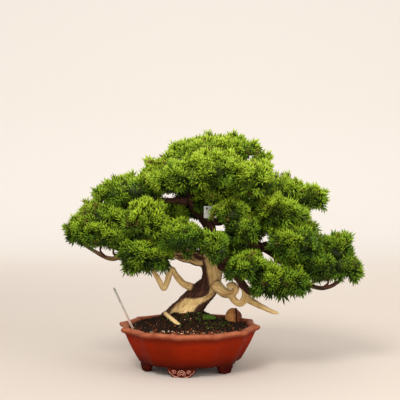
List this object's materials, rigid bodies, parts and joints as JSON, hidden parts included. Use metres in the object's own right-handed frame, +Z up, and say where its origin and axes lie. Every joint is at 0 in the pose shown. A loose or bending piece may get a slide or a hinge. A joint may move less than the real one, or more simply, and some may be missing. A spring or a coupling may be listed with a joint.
{
  "type": "bonsai tree in a pot",
  "caption": "Juniper bonsai with a curved trunk, bleached deadwood and layered leafy pads, planted in granular soil in a low clay pot with an angular wavy lip and carved feet.",
  "frame": {"origin": "on the plane the pot's feet rest on, under the middle of the whole outline", "axes": "+Z up, +X to the right as the front of the tree is seen, -Y towards the viewer of that front"},
  "size_m": [0.622, 0.3024, 0.4891],
  "materials": {
    "clay": "satin",
    "soil": "matte",
    "netting": "matte",
    "stone": "matte",
    "moss": "matte",
    "label": "matte",
    "tag": "matte",
    "wire": "satin",
    "bark": "matte",
    "deadwood": "matte",
    "foliage": "matte"
  },
  "bodies": {
    "root": {"trunk": "bark", "leader": "bark", "branch_left": "bark", "branch_left_upper": "bark", "branch_left_back": "bark", "branch_left_front": "bark", "branch_left_high": "bark", "branch_right": "bark", "branch_right_low": "bark", "branch_right_upper": "bark", "branch_right_dome": "bark", "branch_right_far": "bark", "branch_right_back": "bark", "branch_front_left": "bark", "branch_front": "bark", "branch_front_right": "bark", "branch_back_low": "bark", "branch_back": "bark", "jin_left": "deadwood", "jin_curl": "deadwood", "jin_loop": "deadwood", "jin_spike": "deadwood", "dead_root": "deadwood", "soil": "soil", "pot": "clay", "drain_screen_left": "netting", "drain_screen_right": "netting", "stone": "stone", "moss": "moss", "plant_label": "label", "name_tag": "tag", "tag_wire": "wire", "crown_top": "foliage", "crown_left": "foliage", "crown_right": "foliage", "crown_front": "foliage", "crown_under": "foliage", "crown_back": "foliage", "crown_back_right": "foliage", "left_high": "foliage", "left_tip": "foliage", "left_low": "foliage", "left_inner": "foliage", "left_hanging": "foliage", "left_middle": "foliage", "left_back": "foliage", "heart_left": "foliage", "heart": "foliage", "heart_middle": "foliage", "heart_right": "foliage", "right_high": "foliage", "right_upper": "foliage", "right_dome": "foliage", "right_low": "foliage", "right_outer": "foliage", "right_tip": "foliage", "right_back": "foliage", "back": "foliage", "back_low_left": "foliage", "back_low_right": "foliage"}
  },
  "joints": []
}
